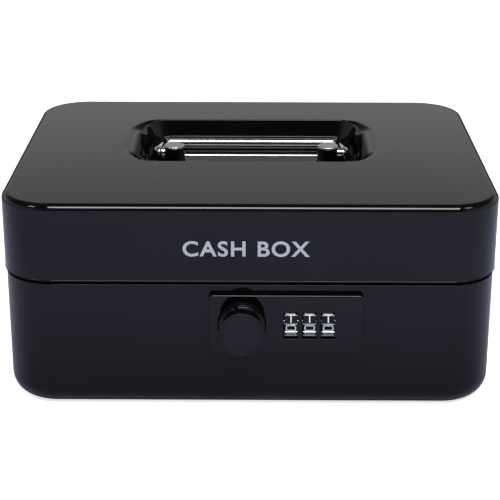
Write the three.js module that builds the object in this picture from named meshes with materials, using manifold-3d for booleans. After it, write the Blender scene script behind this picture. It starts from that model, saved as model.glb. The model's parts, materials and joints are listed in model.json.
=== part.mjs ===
// A small steel cash box with a three-dial combination lock, a turning knob, a folding carry handle
// in a pressed recess of the lid, and a lift-out coin tray. Millimetres, +Z up, the front faces -Y,
// and the origin is the middle of the flat base.
import * as THREE from "three";
import { mergeVertices } from "three/addons/utils/BufferGeometryUtils.js";
import Module from "manifold-3d";

const wasm = await Module();
wasm.setup();

// ---- Driving dimensions -------------------------------------------------------------------------
const GAP = 0.3; // air between pieces that touch on the real box
const SHEET = 0.8; // steel sheet of the body and the lid
const CORNER_STEPS = 6; // facets in each vertical corner of the shells

const LID = { halfX: 100, halfY: 80, corner: 21, top: 87.5, rim: 55.7, edge: 2.7 };
const OVERHANG = 0.6; // how far the lid stands out past the body
const BODY = {
  halfX: LID.halfX - OVERHANG,
  halfY: LID.halfY - OVERHANG,
  corner: LID.corner - OVERHANG,
  foot: 9, // radius where the wall meets the base
  shoulder: 54.7, // height where the wall steps in under the lid
  rim: 63.5, // top of the stepped-in rim
};
const FRONT = -BODY.halfY; // the body's front face

const RECESS = {
  y: 12.2,
  depth: 10,
  steps: 6,
  rim: { halfX: 58.8, halfY: 33.1, corner: 21 },
  floor: { halfX: 46.2, halfY: 28, corner: 10 },
};
const RECESS_FLOOR = LID.top - RECESS.depth;

const POST = { x: 34.4, y: 12.5, radius: 4.7, top: 84.15, bore: 2.3 };
const RIVET = { head: 0.5, shank: 1.5, tail: 2.7, hole: 1.8 };
const BAIL = { radius: 2.05, pivotZ: 81.5, pivotX: 42.5, gripX: 39.7, gripY: 33.1, gripZ: 79.95, bend: 4.2 };

const HINGE = { y: LID.halfY + 2.6, z: 55.2, length: 130, knuckles: 7, outer: 2.3, bore: 1.35, pin: 1 };
const LEAF = { sheet: 0.8, low: 40, high: 70, notch: 2.8 };

const LOCK = { x: 14.65, z: 38.5, width: 61.7, height: 24.7, proud: 3, corner: 1.6 };
const PLATE_FACE = FRONT - LOCK.proud;
const KNOB = { x: -3, radius: 9.15, base: PLATE_FACE - 1.6, face: -93.2, cap: 8.2 };
const SPINDLE = { radius: 3, thread: 2, bore: 3.35 };
const DIAL = {
  middle: 23.97,
  pitch: 7.41,
  width: 5.1,
  radius: 6.45,
  root: 6.05,
  y: PLATE_FACE + 3.3,
  window: 5.7,
  pocket: 6.8,
};
const DIAL_NAMES = ["dial_left", "dial_middle", "dial_right"];
const AXLE = { radius: 1.2, bore: 1.55 };
const CASE = { left: -11, right: 38, low: 28.5, high: 48.2, back: -65.2 };
const CAVITY = { left: 12, right: 36, low: 30.3, high: 46.2, front: -73.5 };
const CAM = { front: -63.5, sheet: 2, reach: 19, halfWidth: 3.5, hub: 6 };
const SCREW = { radius: 1.25, head: 2.4, hole: 1.55, left: -13.8, right: 42 };
const STRIKE = { left: -24, right: -13, sheet: 1.5, back: -65.3, ledgeTop: 34.2 };
const TRAY = { halfX: 95, front: -55, back: 72, low: 35.5, high: 61.5, corner: 7, wall: 1.6 };
const CUPS = { count: 4, radius: 16, back: 28.4, bayFront: 30, bayRadius: 10 };
const LEDGE = { halfLength: 50, y: 5, reach: 8, sheet: 1 };

// ---- Materials ----------------------------------------------------------------------------------
const finish = (color, roughness, metalness) =>
  new THREE.MeshStandardMaterial({ color, roughness, metalness });
const PAINT = finish(0x0b0b0d, 0.12, 0);
const CHROME = finish(0xd8dadc, 0.08, 1);
const NICKEL = finish(0xa9a9a6, 0.35, 1);
const ZINC = finish(0x9ba0a6, 0.4, 1);
const BLACK_PLASTIC = finish(0x0d0d0f, 0.3, 0);
const DIAL_PLASTIC = finish(0x101012, 0.25, 0);
const TRAY_PLASTIC = finish(0x17181a, 0.5, 0);
const SPRING_STEEL = finish(0xb6b9bc, 0.25, 1);
const BRASS = finish(0xb8934a, 0.3, 1);

// ---- Solids: joining and cutting ----------------------------------------------------------------
// A geometry as a manifold-3d solid, turned so that its faces point out.
function solidOf(geometry) {
  const bare = geometry.clone();
  for (const name of Object.keys(bare.attributes)) {
    if (name !== "position") bare.deleteAttribute(name);
  }
  const merged = mergeVertices(bare, 1e-4);
  const position = merged.attributes.position;
  const index = Uint32Array.from(merged.index.array);
  const corner = (i) => new THREE.Vector3().fromBufferAttribute(position, index[i]);
  let volume = 0;
  for (let i = 0; i < index.length; i += 3) {
    volume += corner(i).dot(corner(i + 1).cross(corner(i + 2)));
  }
  if (volume < 0) {
    for (let i = 0; i < index.length; i += 3) {
      [index[i + 1], index[i + 2]] = [index[i + 2], index[i + 1]];
    }
  }
  return new wasm.Manifold(
    new wasm.Mesh({ numProp: 3, vertProperties: Float32Array.from(position.array), triVerts: index }),
  );
}

function geometryOf(solid) {
  const mesh = solid.getMesh();
  const geometry = new THREE.BufferGeometry();
  const points = new Float32Array(mesh.numVert * 3);
  for (let i = 0; i < mesh.numVert; i++) {
    points.set(mesh.vertProperties.subarray(i * mesh.numProp, i * mesh.numProp + 3), i * 3);
  }
  geometry.setAttribute("position", new THREE.BufferAttribute(points, 3));
  geometry.setIndex(new THREE.BufferAttribute(mesh.triVerts, 1));
  geometry.computeVertexNormals();
  return geometry;
}

const tidy = (geometry) => geometryOf(solidOf(geometry));
const join = (first, ...others) =>
  geometryOf(others.reduce((made, next) => made.add(solidOf(next)), solidOf(first)));
const cut = (first, ...tools) =>
  geometryOf(tools.reduce((made, tool) => made.subtract(solidOf(tool)), solidOf(first)));

// ---- Basic shapes, placed -----------------------------------------------------------------------
// A box from its low corner to its high corner.
function block(x0, x1, y0, y1, z0, z1) {
  const made = new THREE.BoxGeometry(x1 - x0, y1 - y0, z1 - z0);
  return made.translate((x0 + x1) / 2, (y0 + y1) / 2, (z0 + z1) / 2);
}

function rodX(radius, x0, x1, y, z, sides = 20) {
  const made = new THREE.CylinderGeometry(radius, radius, x1 - x0, sides);
  return made.rotateZ(Math.PI / 2).translate((x0 + x1) / 2, y, z);
}

function rodY(radius, y0, y1, x, z, sides = 20) {
  const made = new THREE.CylinderGeometry(radius, radius, y1 - y0, sides);
  return made.translate(x, (y0 + y1) / 2, z);
}

function rodZ(radius, z0, z1, x, y, sides = 20) {
  const made = new THREE.CylinderGeometry(radius, radius, z1 - z0, sides);
  return made.rotateX(Math.PI / 2).translate(x, y, (z0 + z1) / 2);
}

// A body turned about an axis parallel to Y. The profile is [radius, y] pairs.
function turnedY(profile, x, z, sides = 40) {
  const points = profile.map(([radius, y]) => new THREE.Vector2(radius, y));
  return tidy(new THREE.LatheGeometry(points, sides).translate(x, 0, z));
}

// A body turned about a vertical axis. The profile is [radius, z] pairs.
function turnedZ(profile, x, y, sides = 18) {
  const points = profile.map(([radius, z]) => new THREE.Vector2(radius, z));
  return tidy(new THREE.LatheGeometry(points, sides).rotateX(Math.PI / 2).translate(x, y, 0));
}

const extruded = (shape, depth) =>
  new THREE.ExtrudeGeometry(shape, { depth, bevelEnabled: false, curveSegments: 8 });
const X_AXIS = new THREE.Vector3(1, 0, 0);
const Y_AXIS = new THREE.Vector3(0, 1, 0);
const Z_AXIS = new THREE.Vector3(0, 0, 1);

// A prism whose outline is drawn in Y and Z, from x0 to x1.
function prismX(shape, x0, x1) {
  const made = extruded(shape, x1 - x0);
  return made.applyMatrix4(new THREE.Matrix4().makeBasis(Y_AXIS, Z_AXIS, X_AXIS)).translate(x0, 0, 0);
}

// A prism whose outline is drawn in X and Z, from y1 forward to y0.
function prismY(shape, y0, y1) {
  const made = extruded(shape, y1 - y0);
  const turn = new THREE.Matrix4().makeBasis(X_AXIS, Z_AXIS, Y_AXIS.clone().negate());
  return made.applyMatrix4(turn).translate(0, y1, 0);
}

// A rounded rectangle as a closed path with the same number of points at every size.
function roundedRectangle(path, halfX, halfY, radius, midX = 0, midY = 0) {
  const quarter = Math.PI / 2;
  const turns = [[1, 1], [-1, 1], [-1, -1], [1, -1]];
  turns.forEach(([sideX, sideY], i) => {
    const x = midX + sideX * (halfX - radius);
    const y = midY + sideY * (halfY - radius);
    path.absarc(x, y, radius, i * quarter, (i + 1) * quarter, false);
  });
  return path.closePath();
}

function ring({ halfX, halfY, corner }, inset, z, midY = 0) {
  const radius = Math.max(corner - inset, 0.6);
  const path = roundedRectangle(new THREE.Path(), halfX - inset, halfY - inset, radius, 0, midY);
  const points = path.getPoints(CORNER_STEPS).slice(0, -1);
  return points.map((point) => new THREE.Vector3(point.x, point.y, z));
}

// One closed skin through a stack of rings, from a cap that faces down to a cap that faces up.
function loft(rings) {
  const count = rings[0].length;
  const centre = (points) =>
    points.reduce((sum, point) => sum.add(point), new THREE.Vector3()).divideScalar(count);
  const points = [centre(rings[0]), ...rings.flat(), centre(rings.at(-1))];
  const at = (level, k) => 1 + level * count + (k % count);
  const faces = [];
  for (let k = 0; k < count; k++) {
    faces.push(0, at(0, k + 1), at(0, k));
    for (let level = 0; level + 1 < rings.length; level++) {
      const [a, b] = [at(level, k), at(level, k + 1)];
      const [c, d] = [at(level + 1, k + 1), at(level + 1, k)];
      faces.push(a, b, c, a, c, d);
    }
    faces.push(points.length - 1, at(rings.length - 1, k), at(rings.length - 1, k + 1));
  }
  const made = new THREE.BufferGeometry().setFromPoints(points);
  made.setIndex(faces);
  return tidy(made);
}

// ---- The assembly, filled piece by piece --------------------------------------------------------
const cashBox = new THREE.Group();
function piece(name, geometry, material) {
  const mesh = new THREE.Mesh(geometry, material);
  mesh.name = name;
  cashBox.add(mesh);
}

const steps = (count) => Array.from({ length: count + 1 }, (_, i) => i / count);

// The opening in the front wall that the lock's case passes through, and the screw holes beside it.
const caseOpening = (y0, y1) =>
  block(CASE.left - GAP, CASE.right + GAP, y0, y1, CASE.low - GAP, CASE.high + GAP);
const screwHoles = (y0, y1) =>
  [SCREW.left, SCREW.right].map((x) => rodY(SCREW.hole, y0, y1, x, LOCK.z, 12));

// ---- Body ---------------------------------------------------------------------------------------
// The drawn steel tub: flat base, round foot, straight wall, and a rim stepped in by one sheet.
function bodyTub() {
  const rings = [];
  const footSteps = 4;
  const foot = (radius, wall, base, fraction) => {
    const angle = fraction * (Math.PI / 2);
    rings.push(ring(BODY, wall + radius * (1 - Math.sin(angle)), base + radius * (1 - Math.cos(angle))));
  };
  for (const fraction of steps(footSteps)) foot(BODY.foot, 0, 0, fraction);
  rings.push(ring(BODY, 0, BODY.shoulder - SHEET));
  rings.push(ring(BODY, SHEET, BODY.shoulder));
  rings.push(ring(BODY, SHEET, BODY.rim));
  rings.push(ring(BODY, 2 * SHEET, BODY.rim));
  rings.push(ring(BODY, 2 * SHEET, BODY.shoulder - SHEET));
  rings.push(ring(BODY, SHEET, BODY.shoulder - 2 * SHEET));
  for (const fraction of steps(footSteps).reverse()) foot(BODY.foot - SHEET, SHEET, SHEET, fraction);
  return cut(loft(rings), caseOpening(FRONT - 1, FRONT + 2), ...screwHoles(FRONT - 1, FRONT + 2));
}
piece("body_tub", bodyTub(), PAINT);

// Angle strips spot-welded to the side walls, which the coin tray stands on.
function trayLedge(side) {
  const wall = side * (BODY.halfX - SHEET - GAP);
  const top = TRAY.low - GAP;
  const [y0, y1] = [LEDGE.y - LEDGE.halfLength, LEDGE.y + LEDGE.halfLength];
  const between = (a, b) => [Math.min(a, b), Math.max(a, b)];
  const shelf = block(...between(wall, wall - side * LEDGE.reach), y0, y1, top - LEDGE.sheet, top);
  const web = block(...between(wall, wall - side * LEDGE.sheet), y0, y1, top - 10, top);
  return join(shelf, web);
}
piece("tray_ledge_left", trayLedge(-1), PAINT);
piece("tray_ledge_right", trayLedge(1), PAINT);

// ---- Lid ----------------------------------------------------------------------------------------
// A ring of the pressed recess, from its rim at 0 down to its floor at 1.
function recessRing(fraction, grow, drop) {
  const mix = (key) => THREE.MathUtils.lerp(RECESS.rim[key], RECESS.floor[key], fraction) + grow;
  const fall = (1 - Math.cos(Math.PI * fraction)) / 2;
  const size = { halfX: mix("halfX"), halfY: mix("halfY"), corner: mix("corner") };
  return ring(size, 0, LID.top - RECESS.depth * fall - drop, RECESS.y);
}

// The drawn steel lid: skirt, rounded top edge, flat top and the recess for the handle.
function lidShell() {
  const rings = [];
  const edgeSteps = 3;
  const recess = steps(RECESS.steps);
  for (const fraction of [...recess].reverse()) rings.push(recessRing(fraction, 0.5, SHEET));
  const edge = (radius, inset, top, fraction) => {
    const angle = fraction * (Math.PI / 2);
    rings.push(ring(LID, inset + radius * (1 - Math.sin(angle)), top - radius * (1 - Math.cos(angle))));
  };
  for (const fraction of steps(edgeSteps)) edge(LID.edge - SHEET, SHEET, LID.top - SHEET, fraction);
  rings.push(ring(LID, SHEET, LID.rim));
  rings.push(ring(LID, 0, LID.rim));
  for (const fraction of steps(edgeSteps).reverse()) edge(LID.edge, 0, LID.top, fraction);
  for (const fraction of recess) rings.push(recessRing(fraction, 0, 0));
  const holes = [-1, 1].map((side) =>
    rodZ(RIVET.hole, RECESS_FLOOR - 3, RECESS_FLOOR + 2, side * POST.x, POST.y, 12),
  );
  return cut(loft(rings), ...holes);
}
piece("lid_shell", lidShell(), PAINT);

// The hook that hangs from the lid behind the front wall. The lock's cam turns over its ledge.
function lidStrike() {
  const { left, right, sheet, back, ledgeTop } = STRIKE;
  const wall = -LID.halfY + SHEET + GAP;
  const shelfTop = BODY.rim + 4;
  const flange = block(left, right, wall, wall + sheet, shelfTop - sheet, shelfTop + 13);
  const shelf = block(left, right, wall, back, shelfTop - sheet, shelfTop);
  const drop = block(left, right, back - sheet, back, ledgeTop - sheet, shelfTop);
  const ledge = block(left, right, back - sheet, CAM.front + CAM.sheet + 1, ledgeTop - sheet, ledgeTop);
  return join(flange, shelf, drop, ledge);
}
piece("lid_strike", lidStrike(), ZINC);

// ---- Handle -------------------------------------------------------------------------------------
// A black post with a cross bore on its outer side, for one end of the bail.
function handlePost(side) {
  const low = RECESS_FLOOR + GAP;
  const column = rodZ(POST.radius, low, POST.top, side * POST.x, POST.y, 28);
  const shank = rodZ(RIVET.hole, low - 1, POST.top + 1, side * POST.x, POST.y, 12);
  const [inner, outer] = [side * (POST.x + 1.9), side * (POST.x + POST.radius + 1)];
  const bore = rodX(POST.bore, Math.min(inner, outer), Math.max(inner, outer), POST.y, BAIL.pivotZ, 16);
  return cut(column, shank, bore);
}

// The rivet through a post: flat head on top, shank, and a tail closed under the washer.
function postRivet(side) {
  const head = POST.top + GAP / 2;
  const tail = RECESS_FLOOR - SHEET - GAP - 1 - GAP;
  return turnedZ(
    [
      [0, tail - 0.8],
      [RIVET.tail - 0.6, tail - 0.8],
      [RIVET.tail, tail - 0.3],
      [RIVET.tail, tail],
      [RIVET.shank, tail],
      [RIVET.shank, head],
      [POST.radius, head],
      [POST.radius, head + RIVET.head - 0.15],
      [POST.radius - 0.15, head + RIVET.head],
      [0, head + RIVET.head],
    ],
    side * POST.x,
    POST.y,
  );
}

function postWasher(side) {
  const top = RECESS_FLOOR - SHEET - GAP;
  const disc = rodZ(5.2, top - 1, top, side * POST.x, POST.y, 24);
  return cut(disc, rodZ(RIVET.hole, top - 2, top + 1, side * POST.x, POST.y, 12));
}

// The bail is one round wire: pivot end, bend, arm, bend, grip, and the same again.
function bail() {
  const { pivotX, pivotZ, gripX, gripY, gripZ, bend } = BAIL;
  const inside = POST.x + 2.3;
  const half = [
    new THREE.Vector3(-inside, POST.y, pivotZ),
    new THREE.Vector3(-pivotX, POST.y, pivotZ),
    new THREE.Vector3(-gripX, gripY, gripZ),
  ];
  const mirrored = half.map((p) => new THREE.Vector3(-p.x, p.y, p.z)).reverse();
  const corners = [...half, ...mirrored];
  const path = new THREE.CurvePath();
  let from = corners[0];
  for (let i = 1; i + 1 < corners.length; i++) {
    const towards = (target) => target.clone().sub(corners[i]).setLength(bend).add(corners[i]);
    const [start, end] = [towards(corners[i - 1]), towards(corners[i + 1])];
    path.add(new THREE.LineCurve3(from, start));
    path.add(new THREE.QuadraticBezierCurve3(start, corners[i], end));
    from = end;
  }
  path.add(new THREE.LineCurve3(from, corners.at(-1)));
  const section = new THREE.Shape().absarc(0, 0, BAIL.radius, 0, 2 * Math.PI, false);
  return tidy(new THREE.ExtrudeGeometry(section, { steps: 76, curveSegments: 6, extrudePath: path }));
}

for (const [side, name] of [[-1, "left"], [1, "right"]]) {
  piece(`handle_post_${name}`, handlePost(side), BLACK_PLASTIC);
  piece(`post_rivet_${name}`, postRivet(side), NICKEL);
  piece(`post_washer_${name}`, postWasher(side), ZINC);
}
piece("handle_bail", bail(), CHROME);

// ---- Hinge --------------------------------------------------------------------------------------
const knuckleLength = (HINGE.length + GAP) / HINGE.knuckles - GAP;
const knuckleStart = (i) => -HINGE.length / 2 + i * (knuckleLength + GAP);

// One leaf: a strip on the back of the box, its knuckles, and a tab from the strip to each knuckle.
function hingeLeaf(first, strip, tabs, extras) {
  const [low, high] = strip;
  const face = tabs.face;
  let made = block(-HINGE.length / 2, HINGE.length / 2, face, face + LEAF.sheet, low, high);
  for (let i = first; i < HINGE.knuckles; i += 2) {
    const x0 = knuckleStart(i);
    const x1 = x0 + knuckleLength;
    const knuckle = rodX(HINGE.outer, x0, x1, HINGE.y, HINGE.z, 18);
    const [from, to] = [tabs.from, HINGE.z].sort((a, b) => a - b);
    const tab = block(x0, x1, face, face + LEAF.sheet + 0.2, from, to);
    made = join(made, knuckle, tab, ...extras(x0, x1));
  }
  return cut(made, rodX(HINGE.bore, -HINGE.length, HINGE.length, HINGE.y, HINGE.z, 12));
}

const bodyLeafFace = BODY.halfY + GAP;
const bodyStrip = [LEAF.low, HINGE.z - LEAF.notch];
piece(
  "hinge_body_leaf",
  hingeLeaf(0, bodyStrip, { face: bodyLeafFace, from: bodyStrip[1] - 1 }, () => []),
  PAINT,
);

// Lugs on the lid's knuckles meet the body's leaf when the lid is open by a little over 100 degrees.
const STOP_ANGLE = -8;
function stopLug(x0, x1) {
  const lug = block(x0 + 3, x1 - 3, HINGE.bore + 0.4, 3.7, -0.9, 0.1);
  return lug.rotateX(THREE.MathUtils.degToRad(STOP_ANGLE)).translate(0, HINGE.y, HINGE.z);
}
const lidStrip = [HINGE.z + LEAF.notch, LEAF.high];
piece(
  "hinge_lid_leaf",
  hingeLeaf(1, lidStrip, { face: LID.halfY + GAP, from: lidStrip[0] + 1 }, (x0, x1) => [stopLug(x0, x1)]),
  PAINT,
);
piece("hinge_pin", rodX(HINGE.pin, -HINGE.length / 2, HINGE.length / 2, HINGE.y, HINGE.z, 14), ZINC);

// ---- Lock front ---------------------------------------------------------------------------------
const dialX = (i) => DIAL.middle + (i - 1) * DIAL.pitch;
const dialPocket = (i) =>
  rodX(DIAL.pocket, dialX(i) - DIAL.window / 2, dialX(i) + DIAL.window / 2, DIAL.y, LOCK.z, 32);
const dialPockets = [0, 1, 2].map(dialPocket);
const AXLE_END = { left: 9.4, right: CASE.right - GAP };
const axleBore = rodX(AXLE.bore, AXLE_END.left - GAP, CASE.right + 1, DIAL.y, LOCK.z, 14);

// The die-cast front plate with its three dial windows and the hole for the spindle.
function lockPlate() {
  const [halfWidth, halfHeight] = [LOCK.width / 2, LOCK.height / 2];
  const outline = roundedRectangle(new THREE.Shape(), halfWidth, halfHeight, LOCK.corner, LOCK.x, LOCK.z);
  const chamfer = 0.35;
  const slab = new THREE.ExtrudeGeometry(outline, {
    depth: LOCK.proud - GAP - chamfer,
    bevelEnabled: true,
    bevelThickness: chamfer,
    bevelSize: chamfer,
    bevelOffset: -chamfer,
    bevelSegments: 1,
    curveSegments: 4,
  });
  const turn = new THREE.Matrix4().makeBasis(X_AXIS, Z_AXIS, Y_AXIS.clone().negate());
  slab.applyMatrix4(turn).translate(0, FRONT - GAP, 0);
  const back = block(-500, 500, FRONT - GAP, 0, -500, 500);
  const spindleHole = rodY(SPINDLE.bore, PLATE_FACE - 1, FRONT + 1, KNOB.x, LOCK.z, 20);
  return cut(slab, back, ...dialPockets, axleBore, spindleHole, ...screwHoles(FRONT - 1.9, FRONT + 1));
}
piece("lock_plate", lockPlate(), BLACK_PLASTIC);

piece(
  "knob_collar",
  turnedY(
    [
      [4.2, PLATE_FACE - GAP],
      [KNOB.radius, PLATE_FACE - GAP],
      [KNOB.radius, KNOB.base + GAP + 0.35],
      [KNOB.radius - 0.35, KNOB.base + GAP],
      [4.2, KNOB.base + GAP],
      [4.2, PLATE_FACE - GAP],
    ],
    KNOB.x,
    LOCK.z,
  ),
  BLACK_PLASTIC,
);

// ---- Lock case ----------------------------------------------------------------------------------
const COVER_SCREWS = [[9.8, 46], [9.8, 30.6]]; // x and z of the cover's two screws
function lockCase() {
  const front = FRONT;
  const body = block(CASE.left, CASE.right, front, CASE.back, CASE.low, CASE.high);
  const cavity = block(CAVITY.left, CAVITY.right, CAVITY.front, CASE.back + 1, CAVITY.low, CAVITY.high);
  const spindleBore = rodY(SPINDLE.bore, front - 1, CASE.back + 1, KNOB.x, LOCK.z, 20);
  const coverHoles = COVER_SCREWS.map(([x, z]) => rodY(1, CASE.back - 4, CASE.back + 1, x, z, 10));
  const linkSlot = block(SPINDLE.radius + KNOB.x, CAVITY.left + 1, -72.3, -66.7, 30.9, 34.4);
  return cut(body, cavity, ...dialPockets, spindleBore, axleBore, linkSlot, ...coverHoles);
}
piece("lock_case", lockCase(), ZINC);
const dialAxle = rodX(AXLE.radius, AXLE_END.left, AXLE_END.right, DIAL.y, LOCK.z, 14);
piece("dial_axle", dialAxle, SPRING_STEEL);

// The cover over the back of the case, with a slot for the reset lever's stem.
const COVER = { left: 7.6, front: CASE.back + GAP, sheet: 1 };
const LEVER = { x: 26, travel: 3, halfWidth: 4, stem: 1.2 };
function lockCover() {
  const { left, front, sheet } = COVER;
  const plate = block(left, CASE.right, front, front + sheet, CASE.low, CASE.high);
  const slot = block(
    LEVER.x - LEVER.stem - GAP, LEVER.x + LEVER.stem + LEVER.travel + GAP,
    front - 1, front + sheet + 1, LOCK.z - 1.5, LOCK.z + 1.5,
  );
  const holes = COVER_SCREWS.map(([x, z]) => rodY(1, front - 1, front + sheet + 1, x, z, 10));
  return cut(plate, slot, ...holes);
}
piece("lock_cover", lockCover(), ZINC);
COVER_SCREWS.forEach(([x, z], i) => {
  const seat = COVER.front + COVER.sheet;
  const head = rodY(1.7, seat + 0.1, seat + 1, x, z, 14);
  const shank = rodY(0.7, CASE.back - 3.6, seat + 0.5, x, z, 8);
  piece(`cover_screw_${i + 1}`, join(head, shank), ZINC);
});

// The lever that releases the dials from their hubs, so that a new number can be set.
function resetLever() {
  const seat = COVER.front + COVER.sheet;
  const { x, halfWidth, stem } = LEVER;
  const pad = block(x - halfWidth, x + halfWidth, seat + GAP, seat + 1.5, LOCK.z - 2.4, LOCK.z + 2.4);
  const grip = block(x - 0.7, x + 0.7, seat + 1, seat + 3.2, LOCK.z - 2.4, LOCK.z + 2.4);
  const shank = block(x - stem, x + stem, CASE.back - 1.2, seat + 1, LOCK.z - 1.2, LOCK.z + 1.2);
  return join(pad, grip, shank);
}
piece("reset_lever", resetLever(), BRASS);

// Leaf springs that click each dial into its ten places.
function detentSpring(i) {
  const x = dialX(i);
  const leaf = new THREE.Shape();
  const points = [
    [-66.9, 45.6], [-66.9, 44.2], [-71.4, 43.2], [-72.3, 41.8], [-71.6, 40.4],
    [-71.2, 40.6], [-71.8, 41.8], [-71.2, 42.8], [-66.5, 43.8], [-66.5, 45.6],
  ];
  leaf.setFromPoints(points.map(([y, z]) => new THREE.Vector2(y, z)));
  return tidy(prismX(leaf, x - 2, x + 2));
}

// The bar whose fingers reach between the dials and hold the spindle until the number is right.
function lockingBar() {
  let made = block(KNOB.x + 3.6, 33.2, -70.8, -67.2, 31.4, 33.9);
  for (const i of [0, 1, 2]) {
    const x = dialX(i) + 0.3;
    made = join(made, block(x - 1, x + 1, -71.6, -69.6, 31.4, 36.4));
  }
  return made;
}
piece("locking_bar", lockingBar(), BRASS);

// Two screws and a clamp hold the plate to the body's front wall.
const CLAMP = { front: FRONT + SHEET + GAP, sheet: 1 };
function lockClamp() {
  const { front, sheet } = CLAMP;
  const plate = block(LOCK.x - 31.5, LOCK.x + 31.5, front, front + sheet, LOCK.z - 12.2, LOCK.z + 12.2);
  return cut(plate, caseOpening(front - 1, front + 2), ...screwHoles(front - 1, front + 2));
}
piece("lock_clamp", lockClamp(), ZINC);
for (const side of ["left", "right"]) {
  const seat = CLAMP.front + CLAMP.sheet + GAP;
  const head = rodY(SCREW.head, seat, seat + 1.7, SCREW[side], LOCK.z, 18);
  const shank = rodY(SCREW.radius, FRONT - 1.6, seat + 0.5, SCREW[side], LOCK.z, 12);
  const driver = block(SCREW[side] - 0.35, SCREW[side] + 0.35, seat + 0.9, seat + 3, LOCK.z - 3, LOCK.z + 3);
  piece(`lock_screw_${side}`, cut(join(head, shank), driver), ZINC);
}

// ---- Dials --------------------------------------------------------------------------------------
// A ten-sided dial with a raised rib between its numbers. A number faces straight forward.
function dial(i) {
  const outline = new THREE.Shape();
  const degrees = THREE.MathUtils.degToRad;
  const points = [];
  for (let k = 0; k < 10; k++) {
    const rib = 18 + 36 * k;
    const corners = [[DIAL.root, -4.6], [DIAL.radius, -2.4], [DIAL.radius, 2.4], [DIAL.root, 4.6]];
    for (const [radius, offset] of corners) {
      const angle = degrees(rib + offset);
      const [y, z] = [DIAL.y - radius * Math.cos(angle), LOCK.z + radius * Math.sin(angle)];
      points.push(new THREE.Vector2(y, z));
    }
  }
  outline.setFromPoints(points);
  const wheel = prismX(outline, dialX(i) - DIAL.width / 2, dialX(i) + DIAL.width / 2);
  return cut(wheel, rodX(AXLE.bore, dialX(i) - 4, dialX(i) + 4, DIAL.y, LOCK.z, 14));
}
DIAL_NAMES.forEach((name, i) => {
  piece(name, dial(i), DIAL_PLASTIC);
  piece(`detent_spring_${i + 1}`, detentSpring(i), SPRING_STEEL);
});

// ---- Knob and cam -------------------------------------------------------------------------------
piece(
  "knob",
  turnedY(
    [
      [0, KNOB.face + 3],
      [SPINDLE.bore, KNOB.face + 3],
      [SPINDLE.bore, KNOB.base],
      [KNOB.radius - 0.3, KNOB.base],
      [KNOB.radius, KNOB.base - 0.3],
      [KNOB.radius, KNOB.face + 0.4],
      [KNOB.radius - 0.4, KNOB.face],
      [KNOB.cap + GAP, KNOB.face],
      [KNOB.cap + GAP, KNOB.face + 1.1],
      [0, KNOB.face + 1.1],
    ],
    KNOB.x,
    LOCK.z,
    44,
  ),
  BLACK_PLASTIC,
);
piece(
  "knob_cap",
  turnedY(
    [
      [0, KNOB.face + 0.8],
      [KNOB.cap, KNOB.face + 0.8],
      [KNOB.cap, KNOB.face + 0.15],
      [KNOB.cap - 0.15, KNOB.face],
      [0, KNOB.face],
    ],
    KNOB.x,
    LOCK.z,
    44,
  ),
  BLACK_PLASTIC,
);
piece(
  "knob_spindle",
  turnedY(
    [
      [0, KNOB.face + 3.3],
      [SPINDLE.radius, KNOB.face + 3.3],
      [SPINDLE.radius, CAM.front - GAP],
      [SPINDLE.thread, CAM.front - GAP],
      [SPINDLE.thread, -57.6],
      [0, -57.6],
    ],
    KNOB.x,
    LOCK.z,
    24,
  ),
  ZINC,
);

// The flat cam. It points up when the box can be opened, and a quarter turn puts it over the ledge.
function lockCam() {
  const outline = new THREE.Shape();
  const neck = Math.acos(CAM.halfWidth / CAM.hub);
  outline.absarc(KNOB.x, LOCK.z, CAM.hub, neck, Math.PI - neck, true);
  outline.lineTo(KNOB.x - CAM.halfWidth, LOCK.z + CAM.reach - 1.5);
  outline.lineTo(KNOB.x - CAM.halfWidth + 1.5, LOCK.z + CAM.reach);
  outline.lineTo(KNOB.x + CAM.halfWidth - 1.5, LOCK.z + CAM.reach);
  outline.lineTo(KNOB.x + CAM.halfWidth, LOCK.z + CAM.reach - 1.5);
  outline.closePath();
  const blade = prismY(outline, CAM.front, CAM.front + CAM.sheet);
  return cut(blade, rodY(SPINDLE.thread + GAP, CAM.front - 1, CAM.front + CAM.sheet + 1, KNOB.x, LOCK.z, 16));
}
piece("lock_cam", lockCam(), ZINC);

const NUT = { washer: CAM.front + CAM.sheet + 0.2, thick: 0.6, height: 2.4, across: 7 };
const threadHole = rodY(SPINDLE.thread + GAP, NUT.washer - 1, NUT.washer + 6, KNOB.x, LOCK.z, 16);
piece(
  "cam_washer",
  cut(rodY(4.6, NUT.washer, NUT.washer + NUT.thick, KNOB.x, LOCK.z, 24), threadHole),
  ZINC,
);
const nutSeat = NUT.washer + NUT.thick + 0.2;
const nutRadius = NUT.across / Math.sqrt(3);
piece("cam_nut", cut(rodY(nutRadius, nutSeat, nutSeat + NUT.height, KNOB.x, LOCK.z, 6), threadHole), ZINC);

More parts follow.
